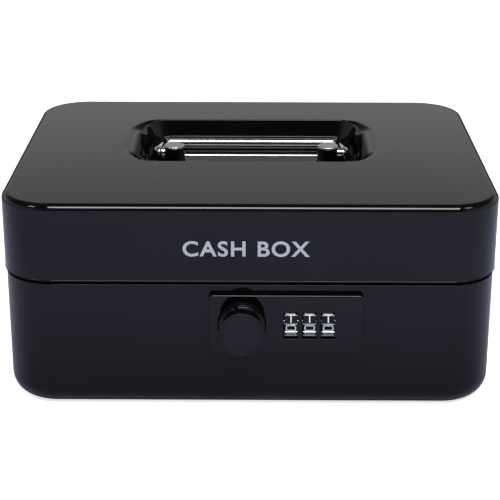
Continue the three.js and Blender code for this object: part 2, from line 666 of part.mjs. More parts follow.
// ---- Coin tray ----------------------------------------------------------------------------------
// A moulded tray with a row of scooped coin cups and one long bay behind them.
function coinTray() {
  const middle = (TRAY.front + TRAY.back) / 2;
  const size = { halfX: TRAY.halfX, halfY: (TRAY.back - TRAY.front) / 2, corner: TRAY.corner };
  const solid = loft([
    ring(size, 2.5, TRAY.low, middle),
    ring(size, 1, TRAY.low + 1.5, middle),
    ring(size, 0, TRAY.high, middle),
  ]);
  const scoop = (y0, y1, radius) => {
    const floor = TRAY.low + TRAY.wall;
    const shape = new THREE.Shape();
    shape.moveTo(y1, TRAY.high + 1);
    shape.lineTo(y0, TRAY.high + 1);
    shape.absarc(y0 + radius, floor + radius, radius, Math.PI, 1.5 * Math.PI, false);
    shape.absarc(y1 - radius, floor + radius, radius, 1.5 * Math.PI, 2 * Math.PI, false);
    shape.closePath();
    return shape;
  };
  const side = TRAY.wall + 1.2;
  const span = 2 * (TRAY.halfX - side);
  const pitch = (span + TRAY.wall) / CUPS.count;
  const cups = Array.from({ length: CUPS.count }, (_, i) => {
    const x0 = -TRAY.halfX + side + i * pitch;
    return prismX(scoop(TRAY.front + side, CUPS.back, CUPS.radius), x0, x0 + pitch - TRAY.wall);
  });
  const bayHalf = TRAY.halfX - side - 6;
  const bay = prismX(scoop(CUPS.bayFront, TRAY.back - side, CUPS.bayRadius), -bayHalf, bayHalf);
  return cut(solid, ...cups, bay);
}
piece("coin_tray", coinTray(), TRAY_PLASTIC);

export default cashBox;
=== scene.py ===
"""The looks of a small steel cash box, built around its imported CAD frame.

A gloss black drawn body and lid, a chrome handle in a pressed recess, and a lock plate with a turning
knob and three number dials. Sizes are in millimetres in this file and in metres in Blender.
"""
import json
import logging
import math
from dataclasses import dataclass
from enum import Enum
from typing import Any, Callable, Sequence

import bmesh
import bpy
import numpy as np
from mathutils import Matrix, Vector
from mathutils.geometry import tessellate_polygon

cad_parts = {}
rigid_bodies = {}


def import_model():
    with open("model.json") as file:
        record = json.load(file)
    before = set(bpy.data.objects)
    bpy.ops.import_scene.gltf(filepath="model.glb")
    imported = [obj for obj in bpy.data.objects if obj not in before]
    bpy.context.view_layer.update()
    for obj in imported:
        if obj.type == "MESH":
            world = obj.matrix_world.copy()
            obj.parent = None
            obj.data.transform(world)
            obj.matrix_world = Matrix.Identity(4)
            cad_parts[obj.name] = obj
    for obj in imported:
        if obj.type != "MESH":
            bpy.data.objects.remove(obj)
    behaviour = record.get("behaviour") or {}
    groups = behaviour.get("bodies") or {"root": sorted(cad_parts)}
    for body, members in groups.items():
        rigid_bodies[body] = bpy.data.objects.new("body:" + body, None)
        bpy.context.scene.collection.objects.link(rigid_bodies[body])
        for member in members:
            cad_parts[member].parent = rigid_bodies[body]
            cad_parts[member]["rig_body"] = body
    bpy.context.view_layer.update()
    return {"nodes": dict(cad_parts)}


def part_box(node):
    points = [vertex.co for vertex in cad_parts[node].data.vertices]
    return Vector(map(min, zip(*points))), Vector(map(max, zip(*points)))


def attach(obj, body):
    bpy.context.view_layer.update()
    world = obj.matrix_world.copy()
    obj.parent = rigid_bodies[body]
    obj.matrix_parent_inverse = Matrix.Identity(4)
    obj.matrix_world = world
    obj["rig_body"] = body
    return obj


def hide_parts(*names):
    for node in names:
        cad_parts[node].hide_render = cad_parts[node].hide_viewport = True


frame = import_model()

LOG = logging.getLogger("cash_box")
MM = 0.001
Color = tuple[float, float, float]
Pair = tuple[float, float]


def cad_box(node: str) -> tuple[np.ndarray, np.ndarray]:
    """A CAD node's lowest and highest corner in millimetres.

    Args:
        node: the node's name.

    Returns:
        The two corners.
    """
    low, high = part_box(node)
    return np.array(low) / MM, np.array(high) / MM


# ---- Curves and surfaces ------------------------------------------------------------------------
def rounded(corners: Sequence[Pair], radii: Sequence[float], steps: int = 8, closed: bool = False) -> np.ndarray:
    """A polyline whose corners are arcs: each arc is the turn about its centre from one tangent point to the other.

    Args:
        corners: the polyline's corners.
        radii: the arc's radius at each corner, or 0 for a sharp one.
        steps: segments in each arc.
        closed: whether the last corner joins the first.

    Returns:
        The points, one row each.
    """
    points = np.asarray(corners, float)
    count, made = len(points), []
    for i, (corner, radius) in enumerate(zip(points, radii)):
        if radius <= 0 or (not closed and i in (0, count - 1)):
            made.append(corner[None])
            continue
        back, on = points[i - 1] - corner, points[(i + 1) % count] - corner
        size_back, size_on = np.linalg.norm(back), np.linalg.norm(on)
        back, on = back / size_back, on / size_on
        half = math.acos(float(np.clip(back @ on, -1, 1))) / 2
        reach = min(radius / math.tan(half), 0.49 * size_back, 0.49 * size_on)
        middle = (back + on) / np.linalg.norm(back + on)
        centre = corner + middle * reach / math.cos(half)
        arm, end = corner + back * reach - centre, corner + on * reach - centre
        sweep = math.atan2(arm[0] * end[1] - arm[1] * end[0], arm @ end)
        turn = np.linspace(0, sweep, steps + 1)[:, None]
        side = np.array([-arm[1], arm[0]])
        made.append(centre + arm * np.cos(turn) + side * np.sin(turn))
    return np.vstack(made)


@dataclass(frozen=True)
class Outline:
    """A rounded rectangle seen along Z, as four corner arcs and the sides between them."""

    half_x: float
    half_y: float
    radius: float
    mid_y: float = 0.0
    steps: int = 22
    stops: tuple[float, ...] = (0.003, 0.25, 0.5, 0.75, 0.997)
    front_stops: tuple[float, ...] = ()

    def ring(self, inset: float = 0.0) -> np.ndarray:
        """The outline moved inwards: centre + radius * (cos, sin) on each corner, and straight sides.

        Args:
            inset: how far inwards.

        Returns:
            The points, counter-clockwise.
        """
        radius = max(self.radius - inset, 0.3)
        reach = np.array([self.half_x - inset - radius, self.half_y - inset - radius])
        arcs, sides = [], np.array([[1, 1], [-1, 1], [-1, -1], [1, -1]])
        for k, side in enumerate(sides):
            turn = np.radians(90 * k + np.linspace(0, 90, self.steps + 1))[:, None]
            arcs.append(side * reach + radius * np.hstack([np.cos(turn), np.sin(turn)]))
        made = []
        for k in range(4):
            stops = np.array(self.front_stops if k == 2 and self.front_stops else self.stops)[:, None]
            start, end = arcs[k][-1], arcs[(k + 1) % 4][0]
            made += [arcs[k], start + (end - start) * stops]
        return np.vstack(made) + [0, self.mid_y]

    def normals(self) -> np.ndarray:
        """The outline's outward direction at each point of ring()."""
        made = []
        for k in range(4):
            stops = len(self.front_stops if k == 2 and self.front_stops else self.stops)
            turn = np.radians(90 * k + np.concatenate([np.linspace(0, 90, self.steps + 1), np.full(stops, 90.0)]))
            made.append(np.stack([np.cos(turn), np.sin(turn)], axis=1))
        return np.vstack(made)


def at_height(ring: np.ndarray, height: Any) -> np.ndarray:
    """The plan points of a ring, with their height added.

    Args:
        ring: points in X and Y.
        height: one height, or one for each point.

    Returns:
        Points in X, Y and Z.
    """
    return np.column_stack([ring, np.broadcast_to(height, len(ring))])


class Axis(Enum):
    """The direction that a turned piece's axis has."""

    X = 0
    Y = 1
    Z = 2


class Skin:
    """Surfaces that are joined into one mesh."""

    def __init__(self) -> None:
        """Starts with no points."""
        self.points: list[np.ndarray] = []
        self.faces: list[list[int]] = []
        self.count = 0

    def add(self, points: np.ndarray, faces: np.ndarray) -> "Skin":
        """Adds points and the faces between them.

        Args:
            points: any array of XYZ rows.
            faces: rows of point numbers.

        Returns:
            The skin itself.
        """
        flat = points.reshape(-1, 3)
        self.points.append(flat)
        self.faces += (np.asarray(faces) + self.count).tolist()
        self.count += len(flat)
        return self

    def grid(self, points: np.ndarray, around: bool = True, along: bool = False,
             keep: Callable | None = None) -> "Skin":
        """Adds a grid of quads.

        Args:
            points: rows by columns of XYZ points.
            around: whether the last column joins the first.
            along: whether the last row joins the first.
            keep: a test of the faces' centres, which says the faces to keep.

        Returns:
            The skin itself.
        """
        rows, columns = points.shape[:2]
        a, b = np.meshgrid(np.arange(rows - (not along)), np.arange(columns - (not around)), indexing="ij")
        c, d = (a + 1) % rows, (b + 1) % columns
        quads = np.stack([a * columns + b, a * columns + d, c * columns + d, c * columns + b], axis=-1).reshape(-1, 4)
        if keep is not None:
            quads = quads[keep(points.reshape(-1, 3)[quads].mean(axis=1))]
        return self.add(points, quads)

    def cap(self, ring: np.ndarray) -> "Skin":
        """Closes a ring with a fan about its mean point.

        Args:
            ring: XYZ points in order.

        Returns:
            The skin itself.
        """
        k, count = np.arange(len(ring)), len(ring)
        fan = np.stack([k, (k + 1) % count, np.full(count, count)], axis=-1)
        return self.add(np.vstack([ring, ring.mean(axis=0)]), fan)

    def sheet(self, loops: Sequence[np.ndarray]) -> "Skin":
        """Fills a flat outline that has holes in it.

        Args:
            loops: the outline and then each hole, as XYZ points.

        Returns:
            The skin itself.
        """
        triangles = tessellate_polygon([[Vector(p) for p in loop] for loop in loops])
        return self.add(np.vstack(loops), np.array([list(t) for t in triangles]))

    def turned(self, profile: np.ndarray, axis: Axis, centre: Sequence[float], sides: int = 64,
               relief: Callable | None = None) -> "Skin":
        """Adds a surface of revolution: radius * (cos, sin) of the turn, at each place along the axis.

        Args:
            profile: rows of radius and place along the axis.
            axis: the axis it turns about.
            centre: a point on the axis; its part along the axis is added to the places.
            sides: facets around.
            relief: a change of the radius for a turn and a row of the profile.

        Returns:
            The skin itself.
        """
        turn = np.linspace(0, 2 * np.pi, sides, endpoint=False)[None, :]
        radius, place = profile[:, 0][:, None], profile[:, 1][:, None]
        if relief is not None:
            radius = radius + relief(turn, profile)
        first, second, on = radius * np.cos(turn), radius * np.sin(turn), place + 0 * turn
        order = {Axis.X: (on, first, second), Axis.Y: (second, on, first), Axis.Z: (first, second, on)}[axis]
        return self.grid(np.stack(order, axis=-1) + np.asarray(centre, float))

    def wire(self, path: np.ndarray, normal: np.ndarray, radius: float, sides: int = 32) -> "Skin":
        """Carries a circle along a flat path: path + radius * (cos * side + sin * normal), with round ends.

        Args:
            path: XYZ points.
            normal: the direction at right angles to the path's plane.
            radius: the wire's radius.
            sides: facets around.

        Returns:
            The skin itself.
        """
        along = np.gradient(path, axis=0)
        along /= np.linalg.norm(along, axis=1)[:, None]
        side = np.cross(along, normal)
        turn = np.linspace(0, 2 * np.pi, sides, endpoint=False)
        rim = side[:, None] * np.cos(turn)[None, :, None] + normal * np.sin(turn)[None, :, None]
        dome = np.radians(np.linspace(80, 0, 6))[:, None, None]
        first = path[0] - along[0] * radius * np.sin(dome) * 0.6 + rim[0] * radius * np.cos(dome)
        last = path[-1] + along[-1] * radius * np.sin(dome[::-1]) * 0.6 + rim[-1] * radius * np.cos(dome[::-1])
        rows = np.concatenate([first, path[1:-1, None] + rim[1:-1] * radius, last])
        return self.grid(rows).cap(rows[0]).cap(rows[-1])

    def object(self, name: str, sharp: float = 40.0, thickness: float = 0.0) -> bpy.types.Object:
        """Makes the mesh: doubles merged, faces turned outwards, and edges sharper than an angle left sharp.

        Args:
            name: the piece's name.
            sharp: the angle, in degrees.
            thickness: wall thickness inwards, if the skin is an open sheet.

        Returns:
            The new object.
        """
        mesh = bpy.data.meshes.new(name)
        mesh.from_pydata((np.vstack(self.points) * MM).tolist(), [], self.faces)
        clean(mesh)
        made = bpy.data.objects.new(name, mesh)
        bpy.context.scene.collection.objects.link(made)
        if thickness:
            wall = made.modifiers.new("wall", "SOLIDIFY")
            wall.thickness, wall.offset, wall.use_even_offset = thickness * MM, -1, True
            apply_modifiers(made)
        smooth(made, sharp)
        return made


def clean(mesh: bpy.types.Mesh) -> None:
    """Merges a mesh's doubles and turns its faces outwards.

    Args:
        mesh: the mesh, which is changed.
    """
    work = bmesh.new()
    work.from_mesh(mesh)
    bmesh.ops.remove_doubles(work, verts=work.verts, dist=1.5e-6)
    bmesh.ops.recalc_face_normals(work, faces=work.faces)
    work.to_mesh(mesh)
    work.free()


def apply_modifiers(piece: bpy.types.Object) -> None:
    """Replaces a piece's mesh with what its modifiers make of it.

    Args:
        piece: the object, which is changed.
    """
    bpy.context.view_layer.update()
    piece.data = bpy.data.meshes.new_from_object(piece.evaluated_get(bpy.context.evaluated_depsgraph_get()))
    piece.modifiers.clear()


def smooth(piece: bpy.types.Object, sharp: float) -> None:
    """Shades a piece smooth except over its sharp edges, with flat areas kept flat.

    Args:
        piece: the object, which is changed.
        sharp: the angle, in degrees, past which an edge is sharp.
    """
    piece.data.shade_smooth()
    piece.data.set_sharp_from_angle(angle=math.radians(sharp))
    weighted = piece.modifiers.new("flat areas", "WEIGHTED_NORMAL")
    weighted.keep_sharp, weighted.weight = True, 80


def mount(piece: bpy.types.Object, body: str, look: "Finish", *nodes: str) -> bpy.types.Object:
    """Gives a piece its finish's material and its body, and hides the CAD nodes it stands for.

    Args:
        piece: the object.
        body: the CAD body it moves with.
        look: the finish.
        nodes: the CAD nodes it replaces.

    Returns:
        The piece.
    """
    piece.data.materials.clear()
    piece.data.materials.append(look.material())
    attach(piece, body)
    if nodes:
        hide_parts(*nodes)
    LOG.info("%s rides on %s", piece.name, body)
    return piece


def refined(node: str, look: "Finish", bevel: float = 0.15, sharp: float = 32.0) -> bpy.types.Object:
    """Stands for a CAD node with a merged copy of it, its flat faces made whole and its edges broken.

    Args:
        node: the CAD node.
        look: the finish.
        bevel: the width of the broken edges, or 0 for none.
        sharp: the angle past which an edge is one.

    Returns:
        The new piece.
    """
    source = frame["nodes"][node]
    mesh = source.data.copy()
    mesh.materials.clear()
    work = bmesh.new()
    work.from_mesh(mesh)
    bmesh.ops.remove_doubles(work, verts=work.verts, dist=1e-6)
    bmesh.ops.dissolve_limit(work, angle_limit=math.radians(0.5), verts=work.verts, edges=work.edges)
    work.to_mesh(mesh)
    work.free()
    piece = bpy.data.objects.new(f"{node}_piece", mesh)
    bpy.context.scene.collection.objects.link(piece)
    if bevel:
        edge = piece.modifiers.new("edges", "BEVEL")
        edge.width, edge.segments, edge.limit_method = bevel * MM, 2, "ANGLE"
        edge.angle_limit, edge.use_clamp_overlap = math.radians(sharp), True
    smooth(piece, sharp)
    return mount(piece, source["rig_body"], look, node)


# ---- Shader nodes -------------------------------------------------------------------------------
class Value:
    """A number socket. Its arithmetic adds Math nodes."""

    def __init__(self, shader: "Shader", socket: Any) -> None:
        """Wraps a socket of a shader's node tree."""
        self.shader, self.socket = shader, socket

    def math(self, operation: str, *values: Any) -> "Value":
        """Adds a Math node on these values."""
        node = self.shader.node("ShaderNodeMath", {"operation": operation}, dict(enumerate(values)))
        return Value(self.shader, node.outputs[0])

    def __add__(self, other: Any) -> "Value":
        """This plus another value."""
        return self.math("ADD", self, other)

    def __sub__(self, other: Any) -> "Value":
        """This less another value."""
        return self.math("SUBTRACT", self, other)

    def __mul__(self, other: Any) -> "Value":
        """This times another value."""
        return self.math("MULTIPLY", self, other)

    __radd__, __rmul__ = __add__, __mul__

    def between(self, low: float, high: float) -> "Value":
        """A smooth step: 0 below low and 1 above high."""
        node = self.shader.node("ShaderNodeMapRange", {"interpolation_type": "SMOOTHSTEP"},
                                {"Value": self, "From Min": low, "From Max": high})
        return Value(self.shader, node.outputs[0])


class Shader:
    """A node tree, of a material or of the world, and the nodes made in it."""

    def __init__(self, owner: Any) -> None:
        """Clears the owner's node tree."""
        owner.use_nodes = True
        self.tree = owner.node_tree
        self.tree.nodes.clear()

    def node(self, kind: str, settings: dict | None = None, inputs: dict | None = None) -> Any:
        """Adds a node.

        Args:
            kind: the node's type.
            settings: its properties, and "stops" for a ramp, as (place, colour) pairs.
            inputs: values, sockets or Value objects, by socket name or number.

        Returns:
            The node.
        """
        made = self.tree.nodes.new(kind)
        for key, value in (settings or {}).items():
            if key == "stops":
                while len(made.color_ramp.elements) < len(value):
                    made.color_ramp.elements.new(0.5)
                for element, (place, color) in zip(made.color_ramp.elements, value):
                    element.position, element.color = place, (*color, 1)
            else:
                setattr(made, key, value)
        for key, value in (inputs or {}).items():
            if isinstance(value, Value):
                value = value.socket
            if isinstance(value, bpy.types.NodeSocket):
                self.tree.links.new(value, made.inputs[key])
            else:
                made.inputs[key].default_value = value
        return made

    def noise(self, wave: float, detail: float = 2.0, stretch: Sequence[float] = (1, 1, 1)) -> Value:
        """Noise on the piece's own coordinates.

        Args:
            wave: the size of its features in millimetres.
            detail: octaves.
            stretch: how much the features are drawn out along each axis.

        Returns:
            A value about 0.5.
        """
        place = self.node("ShaderNodeTexCoord").outputs["Object"]
        scale = [1 / (wave * MM * s) for s in stretch]
        mapped = self.node("ShaderNodeMapping", inputs={"Vector": place, "Scale": scale})
        made = self.node("ShaderNodeTexNoise", inputs={"Vector": mapped.outputs[0], "Scale": 1.0, "Detail": detail})
        return Value(self, made.outputs["Fac"])

    def mix(self, factor: Any, low: Any, high: Any) -> Any:
        """A colour between two.

        Args:
            factor: 0 for the first and 1 for the second.
            low: the first colour, or its socket.
            high: the second.

        Returns:
            The colour socket.
        """
        ends = [end if isinstance(end, bpy.types.NodeSocket) else (*end, 1) for end in (low, high)]
        return self.node("ShaderNodeMix", {"data_type": "RGBA"}, {0: factor, 6: ends[0], 7: ends[1]}).outputs[2]


@dataclass(frozen=True)
class Relief:
    """One layer of fine unevenness: the size of its waves in millimetres and their height in microns."""

    wave: float
    height: float
    detail: float = 1.5
    stretch: tuple[float, float, float] = (1, 1, 1)


@dataclass(frozen=True)
class Finish:
    """A surface finish: the record's slot it belongs to, its two tones, gloss, and the layers of its unevenness."""

    name: str
    slot: str | None
    color: Color
    second: Color
    roughness: float
    spread: float
    metallic: float = 0.0
    ior: float = 1.5
    coat: float = 0.0
    tone_wave: float = 8.0
    gloss_wave: float = 14.0
    grain: tuple[float, float, float] = (1, 1, 1)
    reliefs: tuple[Relief, ...] = ()

    def material(self) -> bpy.types.Material:
        """The finish's material, made the first time."""
        found = bpy.data.materials.get(self.name)
        return found or self.make()

    def make(self) -> bpy.types.Material:
        """Builds the node tree: two tones, varying roughness, and stacked bumps.

        Returns:
            The material.
        """
        made = bpy.data.materials.new(self.name)
        shader = Shader(made)
        output = shader.node("ShaderNodeOutputMaterial")
        surface = shader.node("ShaderNodeBsdfPrincipled", inputs={
            "Metallic": self.metallic, "IOR": self.ior, "Coat Weight": self.coat, "Coat Roughness": 0.03})
        tone = shader.noise(self.tone_wave, 4, self.grain).between(0.3, 0.7)
        gloss = shader.noise(self.gloss_wave, 4, self.grain)
        fine = shader.noise(self.gloss_wave / 12, 2, self.grain)
        roughness = self.roughness + (gloss - 0.5) * self.spread + (fine - 0.5) * (self.spread * 0.5)
        shader.tree.links.new(shader.mix(tone, self.color, self.second), surface.inputs["Base Color"])
        shader.tree.links.new(roughness.socket, surface.inputs["Roughness"])
        normal = None
        for relief in self.reliefs:
            height = shader.noise(relief.wave, relief.detail, relief.stretch)
            inputs = {"Height": height, "Distance": relief.height * 2e-6, "Strength": 1.0}
            if normal is not None:
                inputs["Normal"] = normal
            normal = shader.node("ShaderNodeBump", inputs=inputs).outputs[0]
        if normal is not None:
            shader.tree.links.new(normal, surface.inputs["Normal"])
        shader.tree.links.new(surface.outputs[0], output.inputs["Surface"])
        return made


PAINT = Finish("gloss paint", "gloss_black_paint", (0.0009, 0.0009, 0.0014), (0.0014, 0.0014, 0.0021), 0.06, 0.035,
               ior=1.315, tone_wave=30, reliefs=(Relief(45, 4.0), Relief(1.9, 0.55), Relief(0.55, 0.06)))
PLATE = Finish("gloss moulding", "gloss_black_plastic", (0.0005, 0.0005, 0.0008), (0.0009, 0.0009, 0.0013),
               0.08, 0.045, ior=1.33, reliefs=(Relief(9, 0.8), Relief(0.7, 0.12)))
KNOB_LOOK = Finish("knob moulding", "gloss_black_plastic", (0.0007, 0.0007, 0.001), (0.0011, 0.0011, 0.0015),
                   0.12, 0.06, ior=1.34, reliefs=(Relief(5, 0.8), Relief(0.5, 0.15)))
COLLAR_LOOK = Finish("satin moulding", "gloss_black_plastic", (0.0005, 0.0005, 0.0007), (0.0009, 0.0009, 0.0011),
                     0.5, 0.12, ior=1.12, reliefs=(Relief(0.4, 0.4),))
CHROME = Finish("polished chrome", "chrome", (0.78, 0.79, 0.81), (0.86, 0.87, 0.88), 0.06, 0.05, metallic=1.0,
                gloss_wave=5, reliefs=(Relief(3.0, 0.5), Relief(0.3, 0.03)))
NICKEL = Finish("satin nickel", "satin_nickel", (0.66, 0.66, 0.65), (0.76, 0.76, 0.75), 0.34, 0.14, metallic=1.0,
                tone_wave=2, gloss_wave=2, grain=(6, 0.4, 1), reliefs=(Relief(0.25, 0.5, stretch=(10, 1, 1)),))
ZINC = Finish("zinc plate", "zinc", (0.42, 0.44, 0.45), (0.56, 0.56, 0.53), 0.36, 0.2, metallic=1.0, tone_wave=4,
              gloss_wave=5, reliefs=(Relief(0.8, 0.8), Relief(3.5, 1.5)))
STEEL = Finish("spring steel", "spring_steel", (0.48, 0.49, 0.5), (0.58, 0.58, 0.58), 0.26, 0.12, metallic=1.0,
               reliefs=(Relief(0.2, 0.3, stretch=(12, 1, 1)),))
BRASS = Finish("stamped brass", "brass", (0.62, 0.42, 0.16), (0.72, 0.52, 0.23), 0.28, 0.14, metallic=1.0,
               tone_wave=3, reliefs=(Relief(0.3, 0.4, stretch=(8, 1, 1)),))
DIAL_LOOK = Finish("dial moulding", "dial_plastic", (0.004, 0.004, 0.005), (0.007, 0.007, 0.008), 0.76, 0.1, ior=1.15,
                   reliefs=(Relief(0.4, 0.2),))
TRAY_LOOK = Finish("tray moulding", "tray_plastic", (0.011, 0.011, 0.012), (0.016, 0.016, 0.017), 0.42, 0.16,
                   reliefs=(Relief(0.5, 2.0), Relief(12, 3.0)))
FOIL = Finish("silver foil", None, (0.45, 0.46, 0.47), (0.53, 0.54, 0.55), 0.3, 0.12, metallic=0.6, tone_wave=1,
              gloss_wave=1, reliefs=(Relief(0.2, 0.3),))
FIGURE_INK = Finish("figure paint", None, (0.4, 0.41, 0.42), (0.47, 0.48, 0.49), 0.45, 0.15, tone_wave=0.6,
                    gloss_wave=1, reliefs=(Relief(0.15, 0.6),))
PRINT_INK = Finish("printed ink", None, (0.26, 0.28, 0.31), (0.31, 0.33, 0.36), 0.42, 0.16, tone_wave=0.8,
                   gloss_wave=2, reliefs=(Relief(0.2, 0.6),))


# ---- Lid ----------------------------------------------------------------------------------------
@dataclass
class Lid:
    """The drawn lid with its pressed recess, and the word printed on its front."""

    corner: float = 21.0
    edge: float = 2.7
    sheet: float = 0.8
    recess_mid: float = 12.2
    recess_depth: float = 10.0
    recess_rim: tuple[float, float, float] = (61.0, 33.1, 22.0)
    recess_floor: tuple[float, float, float] = (46.2, 28.0, 9.0)
    rim_radius: float = 0.45
    foot_radius: float = 2.6
    wall_lean: float = 2.4
    bead: float = 0.22
    scoop_radii: tuple[float, float, float] = (13.5, 0.9, 1.2)
    scoop_bends: tuple[Pair, Pair, Pair] = ((8.3, 0), (12.6, -4.2), (13.6, -10))
    mix_from: float = 0.1
    mix_to: float = 0.97
    print_low: Pair = (-26.3, 66.4)
    print_high: Pair = (23.7, 72.9)

    def __post_init__(self) -> None:
        """Takes the lid's places from the frame."""
        low, high = cad_box("lid_shell")
        self.half_x, self.half_y, self.rim, self.top = high[0], high[1], low[2], high[2]

    def recess_rings(self) -> list[np.ndarray]:
        """The recess from its rim to its floor.

        Each ring point goes from the rim's outline towards the floor's. Across the front and back it follows a steep
        wall with a small radius above and a larger one below. Across the ends it follows a scoop: a large radius
        above, a slope, and a smaller radius below. In the corners the two are mixed by a smooth step of the outline's
        X direction.

        Returns:
            One ring of XYZ points for each step down.
        """
        rim = Outline(*self.recess_rim, mid_y=self.recess_mid)
        floor = Outline(*self.recess_floor, mid_y=self.recess_mid)
        start, end = rim.ring(), floor.ring()
        across = float(self.recess_rim[1] - self.recess_floor[1])
        depth = self.recess_depth
        wall = rounded([(-0.25 * across, 0), (0, 0), (self.wall_lean, -depth), (across, -depth)],
                       [0, self.rim_radius, self.foot_radius, 0], 14)
        wall = np.vstack([wall[:1], wall[1:2] * [1, 0] - [0.15, 0], wall[1:]])
        length = self.recess_rim[0] - self.recess_floor[0]
        bend = rounded([(-0.5, 0), *self.scoop_bends, (length, -depth)], [0, *self.scoop_radii, 0], 16)
        gaps = np.concatenate([[0], np.cumsum(np.linalg.norm(np.diff(bend, axis=0), axis=1))])
        place = np.linspace(0, gaps[-1], len(wall))
        scoop = np.stack([np.interp(place, gaps, bend[:, k]) for k in (0, 1)], axis=1) / [length, 1]
        ends = np.clip((np.abs(rim.normals()[:, 0]) - self.mix_from) / (self.mix_to - self.mix_from), 0, 1)
        ends = (ends ** 2 * (3 - 2 * ends))[None, :, None]
        steep = np.stack([wall[:, 0] / across, wall[:, 1]], axis=1)[:, None]
        path = steep * (1 - ends) + scoop[:, None] * ends
        plan = start[None] + (end - start)[None] * path[..., :1]
        return [np.column_stack([p, z]) for p, z in zip(plan, path[..., 1] + self.top)]

    def shell(self) -> bpy.types.Object:
        """The skirt, the rounded top edge, the flat top and the recess, as one sheet with its thickness.

        Returns:
            The piece.
        """
        plan = Outline(self.half_x, self.half_y, self.corner)
        turn = np.radians(np.linspace(90, 0, 15))
        bead = np.radians(np.linspace(-80, 63, 9))
        rise = list(zip(0.1 - self.bead * np.cos(bead), self.rim + self.bead * (1 + np.sin(bead))))
        rise += [(0, self.rim + 0.6), (0, self.top - self.edge - 0.3)]
        rise += list(zip(self.edge * (1 - np.sin(turn)), self.top - self.edge * (1 - np.cos(turn))))
        rise += [(self.edge + 0.3, self.top), (self.edge + 5, self.top)]
        rings = [at_height(plan.ring(inset), height) for inset, height in rise]
        rings += self.recess_rings()
        skin = Skin().grid(np.array(rings)).cap(rings[-1])
        return skin.object("lid_shell_piece", thickness=self.sheet)

    def print(self) -> bpy.types.Object:
        """The plain word on the front, a thin layer of ink.

        Returns:
            The piece.
        """
        curve = bpy.data.curves.new("lid_print", "FONT")
        curve.body, curve.space_character, curve.offset, curve.extrude = "CASH BOX", 1.12, 0.02, 0.01
        text = bpy.data.objects.new("lid_print", curve)
        bpy.context.scene.collection.objects.link(text)
        bpy.context.view_layer.update()
        mesh = bpy.data.meshes.new_from_object(text.evaluated_get(bpy.context.evaluated_depsgraph_get()))
        bpy.data.objects.remove(text)
        points = np.empty(len(mesh.vertices) * 3)
        mesh.vertices.foreach_get("co", points)
        points = points.reshape(-1, 3)
        low, high = points.min(axis=0), points.max(axis=0)
        share = (points - low) / (high - low)
        size = np.array(self.print_high) - self.print_low
        flat = np.array(self.print_low) + share[:, :2] * size
        depth = -self.half_y - 0.03 * share[:, 2]
        mesh.vertices.foreach_set("co", (np.column_stack([flat[:, 0], depth, flat[:, 1]]) * MM).ravel())
        clean(mesh)
        piece = bpy.data.objects.new("lid_print", mesh)
        bpy.context.scene.collection.objects.link(piece)
        return piece

    def build(self) -> None:
        """Makes the lid's pieces."""
        mount(self.shell(), "lid", PAINT, "lid_shell")
        mount(self.print(), "lid", PRINT_INK)
        refined("lid_strike", ZINC, 0.25)


# ---- Handle -------------------------------------------------------------------------------------
@dataclass
class Handle:
    """The bail and the posts, rivets and washers that hold it."""

    wire: float = 2.05
    inside: float = 36.9
    pivot: tuple[float, float] = (12.5, 81.5)
    grip: tuple[float, float] = (33.1, 79.95)
    pivot_x: float = 42.5
    grip_x: float = 39.7
    bend: float = 2.8
    post_edge: float = 0.5

    def bail(self) -> bpy.types.Object:
        """One round wire: pivot end, arm, grip, arm and pivot end, in one plane.

        Returns:
            The piece.
        """
        start, end = np.array(self.pivot), np.array(self.grip)
        arm = float(np.linalg.norm(end - start))
        out = (end - start) / arm
        corners = [(-self.inside, 0), (-self.pivot_x, 0), (-self.grip_x, arm)]
        corners += [(-x, s) for x, s in reversed(corners)]
        flat = rounded(corners, [0, self.bend, self.bend, self.bend, self.bend, 0], 14)
        gaps = np.linalg.norm(np.diff(flat, axis=0), axis=1)
        place = np.concatenate([[0], np.cumsum(gaps)])
        extra = np.sort(np.concatenate([place, np.linspace(0, place[-1], 60)[1:-1]]))
        extra = extra[np.concatenate([[True], np.diff(extra) > 0.05])]
        flat = np.stack([np.interp(extra, place, flat[:, k]) for k in (0, 1)], axis=1)
        path = np.column_stack([flat[:, 0], start[0] + flat[:, 1] * out[0], start[1] + flat[:, 1] * out[1]])
        normal = np.array([0, -out[1], out[0]])
        return Skin().wire(path, normal, self.wire).object("bail_wire")

    def post(self, side: str) -> None:
        """A black post and the flat silver rivet head on it.

        Args:
            side: left or right.
        """
        low, high = cad_box(f"handle_post_{side}")
        mid = (low + high) / 2
        radius, edge = (high[0] - low[0]) / 2, self.post_edge
        profile = rounded([(0, low[2]), (radius + 0.3, low[2]), (radius, low[2] + 0.8), (radius, high[2]),
                           (0, high[2])], [0, 0.2, 0.4, edge, 0], 6)
        skin = Skin().turned(profile, Axis.Z, (mid[0], mid[1], 0), 64)
        mount(skin.object(f"post_{side}"), "lid", PLATE, f"handle_post_{side}")
        low, high = cad_box(f"post_rivet_{side}")
        top, under = high[2], cad_box(f"handle_post_{side}")[1][2] - 0.3
        head = radius - 0.15
        profile = rounded([(0, under), (head, under), (head, top - 0.02), (head * 0.55, top), (0, top)],
                          [0, 0.05, 0.28, 0.5, 0], 6)
        tail = rounded([(0, low[2]), (2.7, low[2]), (2.7, low[2] + 0.8), (1.5, low[2] + 0.8), (1.5, under)],
                       [0, 0.5, 0.1, 0, 0], 5)
        skin = Skin().turned(profile, Axis.Z, (mid[0], mid[1], 0), 64)
        skin.turned(tail, Axis.Z, (mid[0], mid[1], 0), 32)
        mount(skin.object(f"rivet_{side}"), "lid", NICKEL, f"post_rivet_{side}")
        refined(f"post_washer_{side}", ZINC)

    def build(self) -> None:
        """Makes the handle's pieces."""
        mount(self.bail(), "carry_handle", CHROME, "handle_bail")
        for side in ("left", "right"):
            self.post(side)


